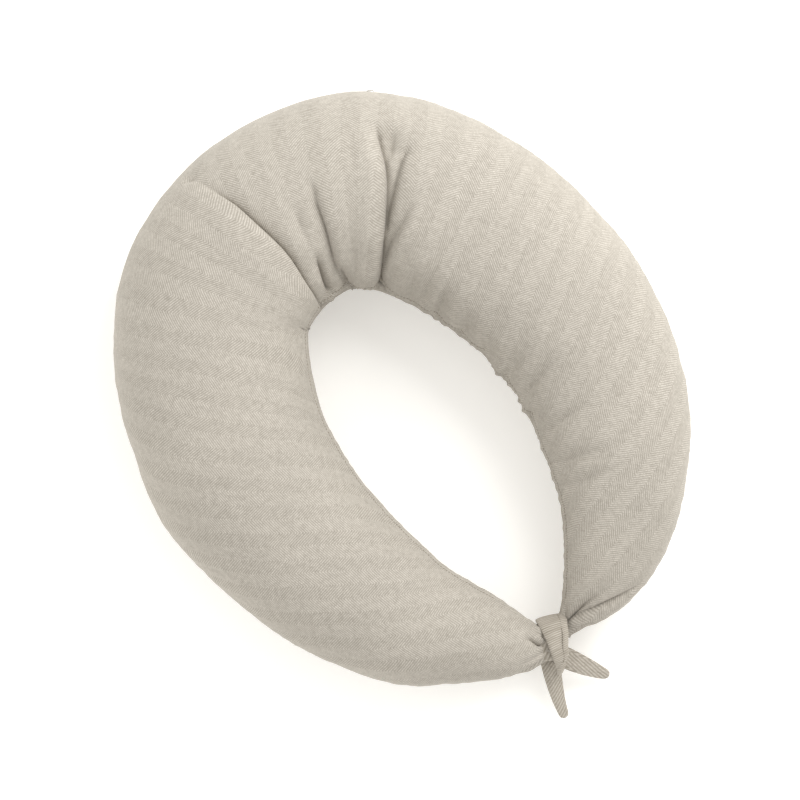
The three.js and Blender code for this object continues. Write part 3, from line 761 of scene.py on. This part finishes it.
def stitchRow(name, places, normals, setting, material):
    # short raised stitches along a line: places in millimetres, evenly resampled
    reached = distances(places)
    count = max(2, int(reached[-1] / setting["pitch"]))
    points, faces = [], []
    sides, rings = 6, ((-0.5, 0.25), (-0.3, 0.9), (0.0, 1.0), (0.3, 0.9), (0.5, 0.25))
    for k in range(count):
        centre = (k + 0.5) * reached[-1] / count
        at = [np.array([np.interp(centre + o, reached, places[:, c]) for c in range(3)])
              for o in (-0.4, 0, 0.4)]
        up = np.array([np.interp(centre, reached, normals[:, c]) for c in range(3)])
        heading = unit(at[2] - at[0])
        across = unit(np.cross(up, heading))
        up = np.cross(heading, across)
        start = len(points)
        for o, size in rings:
            middle = at[1] + heading * o * setting["length"] + up * (0.35 * size - 0.25) * setting["thread"]
            for s in range(sides):
                a = 2 * math.pi * s / sides
                radius = setting["thread"] / 2 * size
                points.append(middle + across * math.cos(a) * radius + up * math.sin(a) * radius)
        faces += tubeFaces(len(rings), sides, start)
    piece = addMesh(name, points, faces, material)
    return piece


stitchSetting = {"pitch": 3.4, "length": 2.4, "thread": 0.75}  # thread drawn twice as thick as a real one


def makeSeamStitches():
    # topstitching on the upper panel, a finger's width above the inner seam
    off = rowDistance(coverShape, ring["upperRows"])
    normals = gridNormals(coverShape)
    places, ups = [], []
    for i in range(len(coverAlong)):
        if not -600 < coverAlong[i] < 640:
            continue
        rows = np.arange(ring["upperRows"], ring["upperRows"] - 24, -1)
        for found, grid in ((places, coverShape), (ups, normals)):
            found.append([np.interp(seams["topstitchOffset"], off[i, rows], grid[i, rows, c]) for c in range(3)])
    piece = stitchRow("inner_seam_topstitch", np.array(places), np.array(ups), stitchSetting, seamThread)
    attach(piece, "pillow")


makeSeamStitches()
print("seam stitched")


# The tie: one strap wound once over both horn tips, and its two loose ends

knot = {
    # round the loop from its inner side over the top: degrees, middle x, width
    "band": [(0, 1, 28), (40, 0.5, 28), (75, -3.2, 24), (100, -8.5, 19.5), (118, -11.3, 18.2),
             (124, -12.4, 16.5), (133, -15.6, 11.5), (145, -19, 6.5), (165, -22, 4), (180, -22, 4.5),
             (270, -6, 18), (360, 1, 28)],
    "skew": 0.37,  # the inner end runs aslant
    "middle": (-269.5, 42.5),  # y, z
    "halfLength": 26,
    "halfHeight": 18.5,
    "thickness": 3.4,
    "crown": 0.9,
    "stretch": 2.05,  # the strap's pattern runs closer where it is pulled tight
    "stitches": {"pitch": 2.7, "length": 2.1, "thread": 0.9},
    "stitchInset": 6.3,
    "steps": 120,
    "around": 28,
}


def knotFrame(angle):
    # middle of the band at a loop angle, the direction out of the loop, and the width there
    a = np.radians(angle)
    at, middleX, width = np.array(knot["band"], float).T
    x, w = np.interp(angle, at, middleX), np.interp(angle, at, width)
    y = knot["middle"][0] + knot["halfLength"] * np.cos(a)
    z = knot["middle"][1] + knot["halfHeight"] * np.sin(a)
    out = np.stack([0 * a, np.cos(a) / knot["halfLength"], np.sin(a) / knot["halfHeight"]], -1)
    return np.stack([x, y, z], -1), unit(out), w


def makeKnot():
    angles = np.linspace(0, 360, knot["steps"], endpoint=False)
    middle, out, width = knotFrame(angles)
    middle, width = eased(middle, 6, closed=True), eased(width, 6, closed=True)
    ahead = np.roll(middle, -1, 0) - np.roll(middle, 1, 0)
    ahead[:, 0] *= 0.35
    across = unit(np.cross(unit(ahead), out))
    across *= np.sign(across[:, :1])

    def onBand(i, x, y):
        # a point x across the band and y out of it
        aslant = np.array([0, -knot["skew"] * x * max(0, math.cos(math.radians(angles[i]))), 0])
        return middle[i] + across[i] * x + out[i] * y + aslant

    def crown(i, x):
        return knot["crown"] * (1 - (2 * x / width[i]) ** 2)

    points, weave = [], []
    reached = distances(middle)
    for i in range(len(angles)):
        for k in range(knot["around"]):
            t = 2 * math.pi * k / knot["around"]
            c, s = math.cos(t), math.sin(t)
            x = np.sign(c) * abs(c) ** 0.55 * width[i] / 2
            y = np.sign(s) * abs(s) ** 0.75 * knot["thickness"] / 2
            if s > 0:
                inset = width[i] / 2 - x
                y += crown(i, x)
                y -= 1.4 * math.exp(-((inset - knot["stitchInset"]) / 0.9) ** 2)
                y += 0.35 * math.exp(-((inset - 2.6) / 2.0) ** 2)
                y += 0.5 * noise.noise(Vector((x / 5, reached[i] / 14, 1.0)))
            points.append(onBand(i, x, y))
            weave.append((0.1 * x + 11, knot["stretch"] * reached[i]))
    faces = gridFaces(len(angles) + 1, knot["around"], closed=True) % len(points)
    corners = faces.reshape(-1)
    weave = np.array(weave)[corners]
    # the strap's run ends where it closes on itself
    last = np.arange(len(corners)) // 4 // knot["around"] == len(angles) - 1
    weave[last & (corners < knot["around"]), 1] += knot["stretch"] * (reached[-1] + 1.2)
    piece = addMesh("tie_knot_band", points, faces, tieCotton, weave)
    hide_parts("tie_knot")
    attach(piece, "pillow")

    # the topstitch follows the strap's right edge and turns across its end
    line, ups = [], []
    for i in range(len(angles)):
        if 4 < angles[i] < 134:
            x = width[i] / 2 - knot["stitchInset"] * min(1, width[i] / 19)
            line.append(onBand(i, x, knot["thickness"] / 2 + crown(i, x) - 0.45))
            ups.append(out[i])
    stitches = stitchRow("tie_knot_topstitch", np.array(line), np.array(ups), knot["stitches"], knotThread)
    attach(stitches, "pillow")


makeKnot()


straps = {
    # the two necks cross inside the knot, and the two loose ends come out below it
    "tie_left_neck": {
        "node": "tie_left_base", "path": [(-36, -252, 43), (-24, -259, 46), (-12, -265, 48), (0, -270, 47)],
        "widths": [30, 36, 38, 30], "thickness": 18, "twist": 0, "pleats": 1.3, "stripeShift": 10,
        "stretch": (0.6, 1),
    },
    "tie_right_neck": {
        "node": "tie_right_base", "path": [(24, -254, 42), (12, -257, 38), (0, -262, 36), (-12, -271, 36)],
        "widths": [10, 12, 20, 31], "thickness": 17, "twist": 0, "pleats": 1.3, "stripeShift": 40,
        "stretch": (0.6, 1),
    },
    "tie_left_end": {
        "node": "tie_left_tail", "body": "left_tail",
        "path": [(-15, -268, 34), (-21, -277, 33), (-27, -290, 30), (-33, -305, 23), (-38.5, -321, 15),
                 (-42.5, -338.5, 8)],
        "widths": [20, 21, 19.5, 16.5, 13, 9], "thickness": 4.2, "twist": 10, "pleats": 0.5,
        "bendFrom": (-22, -279, 32), "bendTo": (-29, -296, 27), "stripeShift": 33, "stretch": (1, 1),
    },
    "tie_right_end": {
        "node": "tie_right_tail", "body": "right_tail",
        "path": [(-13, -278, 34), (-7.5, -288.5, 33), (-0.7, -299.5, 29), (6.5, -310.5, 22), (12.5, -319.5, 15),
                 (18.5, -327, 10)],
        "widths": [20, 22, 20.5, 17, 13, 8.5], "thickness": 4.2, "twist": -8, "pleats": 0.5,
        "bendFrom": (-6, -289, 32), "bendTo": (2, -302, 27), "stripeShift": 33, "stretch": (1.38, 0.42),
    },
}


def makeStrap(name, strap):
    # a flat doubled strap, or where it is bunched a thick one, with a rounded end
    path = np.array(strap["path"], float)
    share = np.linspace(0, 1, len(path))
    fine = np.linspace(0, 1, 48)
    line = np.stack([np.interp(fine, share, path[:, k]) for k in range(3)], -1)
    widths = np.interp(fine, share, strap["widths"])
    line, widths = eased(line, 20), eased(widths, 20)
    reached = distances(line)
    # round the end off over the last few millimetres
    left = reached[-1] - reached
    cap = np.sqrt(np.clip(1 - np.clip(1 - left / np.minimum(widths / 2, 9), 0, 1) ** 2, 0.002, 1))
    widths = widths * cap
    thickness = strap["thickness"] * np.sqrt(cap)
    heading = unit(np.gradient(line, axis=0))
    flat = unit(np.stack([heading[:, 1], -heading[:, 0], 0 * fine], -1))
    up = np.cross(flat, heading)
    up *= np.sign(up[:, 2:])
    turn = np.radians(strap["twist"]) * np.sin(fine * math.pi)[:, None]
    across = flat * np.cos(turn) + up * np.sin(turn)
    lift = up * np.cos(turn) - flat * np.sin(turn)
    loose = "body" in strap
    around, pleatWidth = (26, 6) if loose else (48, 3)
    points, weave = [], []
    for i in range(len(fine)):
        for k in range(around):
            t = 2 * math.pi * k / around
            c, s = math.cos(t), math.sin(t)
            x = np.sign(c) * abs(c) ** 0.6 * widths[i] / 2
            y = np.sign(s) * abs(s) ** 0.8 * thickness[i] / 2
            edge = 1 - min(1, abs(2 * x / max(widths[i], 1e-3)))
            uneven = strap["pleats"] * noise.noise(Vector((x / pleatWidth, reached[i] / 12, len(name))))
            hem = 0.35 * math.exp(-((edge - 0.24) / 0.1) ** 2) if loose else 0
            y += (uneven - hem) * cap[i] * (1 if s > 0 else -0.5)
            points.append(line[i] + across[i] * x + lift[i] * y)
            weave.append((strap["stretch"][0] * x + strap["stripeShift"], strap["stretch"][1] * reached[i]))
    faces = tubeFaces(len(fine), around)
    weave = [weave[k] for face in faces[:-2] for k in face] + [(strap["stripeShift"], 0.0)] * 2 * around
    piece = addMesh(name, points, faces, tieCotton, weave)
    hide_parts(strap["node"])
    if loose:
        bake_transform(piece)
    else:
        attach(piece, "pillow")


for strapName, strapSetting in straps.items():
    makeStrap(strapName, strapSetting)
print("knot tied")


# Zip: tapes, stops, slider and tab stay as built; the coils get their windings

coil = {
    "halfAngle": 33.9,
    "pitch": 1.5,
    "clear": 0.45,  # from the middle of the chain
    "sections": [(-0.2, 0.5), (0.6, 0.62), (1.4, 0.62), (2.2, 0.62), (2.9, 0.5)],  # height, radius
    "sides": 8,
}


def makeCoil(name, sign, node):
    centre = zipSetting["centre"]
    reach = math.radians(coil["halfAngle"])
    step = coil["pitch"] / zipSetting["chainRadius"]
    count = int(2 * reach / step)
    sections, sides = coil["sections"], coil["sides"]
    points, faces = [], []
    for k in range(count):
        a = -reach + (k + (0.5 if sign > 0 else 0)) * step
        outward = np.array([math.sin(a), math.cos(a), 0])
        ahead = np.array([math.cos(a), -math.sin(a), 0])
        start = len(points)
        for height, size in sections:
            z = zipSetting["height"] + sign * (coil["clear"] + height)
            middle = np.array([centre[0], centre[1], z]) + outward * zipSetting["chainRadius"]
            for s in range(sides):
                b = 2 * math.pi * s / sides
                points.append(middle + ahead * math.cos(b) * size * 0.85 + outward * math.sin(b) * 1.35 * size)
        turned = tubeFaces(len(sections), sides, start)
        faces += turned if sign < 0 else [face[::-1] for face in turned]
    piece = addMesh(name, points, faces, zipNylon)
    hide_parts(node)
    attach(piece, "pillow")


makeCoil("zip_coil_upper_windings", 1, "zip_coil_upper")
makeCoil("zip_coil_lower_windings", -1, "zip_coil_lower")


def finishNode(name, material, bevel):
    piece = nodes[name]
    piece.data.materials.clear()
    piece.data.materials.append(material)
    if bevel:
        soft = piece.modifiers.new("worn edges", "BEVEL")
        soft.width = bevel * mm
        soft.segments = 2
        soft.limit_method = "ANGLE"
        soft.angle_limit = math.radians(40)


metalEdges = {"zip_slider": 0.2, "zip_pull_tab": 0.22, "zip_top_stop_upper": 0.15,
              "zip_top_stop_lower": 0.15, "zip_bottom_stop": 0.15}
for nodeName, metalBevel in metalEdges.items():
    finishNode(nodeName, zipMetal, metalBevel)
for nodeName in ("zip_tape_upper", "zip_tape_lower"):
    finishNode(nodeName, zipTapePolyester, 0)
print("zip ready")


# Care label: a blank satin ribbon folded once, with both ends sewn into the outer seam

label = {
    "width": 26, "drop": 31.5, "gap": 1.0, "curl": 2.2, "stand": 2.4,
    "facing": (0.9893, -0.1461),  # the way the arm faces there, in x and y
    "bend": (0, 13),  # a stretch of its drop, from the top
}


def makeLabel():
    low, high = (np.array(corner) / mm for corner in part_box("care_label"))
    middle = (low + high) / 2
    outward = np.array([*label["facing"], 0])
    along = np.array([-outward[1], outward[0], 0])
    seam = coverShape[:, 0]
    top = seam[np.argmin(np.linalg.norm(seam[:, :2] - middle[:2], axis=1))]
    rows = []
    for t in np.linspace(0, 1, 41):
        down = label["drop"] * (1 - abs(1 - 2 * t))
        side = label["gap"] / 2 * (1 if t < 0.5 else -1) * math.sqrt(max(0, 1 - (down / label["drop"]) ** 8))
        side += label["stand"] * smoothStep(down / 5)
        rows.append((down, side + label["curl"] * (down / label["drop"]) ** 2))
    points, columns = [], 15
    for down, side in rows:
        for k in range(columns):
            across = (k / (columns - 1) - 0.5) * label["width"]
            ripple = 0.5 * math.sin(across / 5) * down / label["drop"]
            points.append(top + along * across + outward * (side + ripple) + np.array([0, 0, -down]))
    piece = addMesh("care_label_ribbon", points, gridFaces(len(rows), columns), labelSatin)
    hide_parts("care_label")
    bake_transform(piece)


makeLabel()
print("label ready")
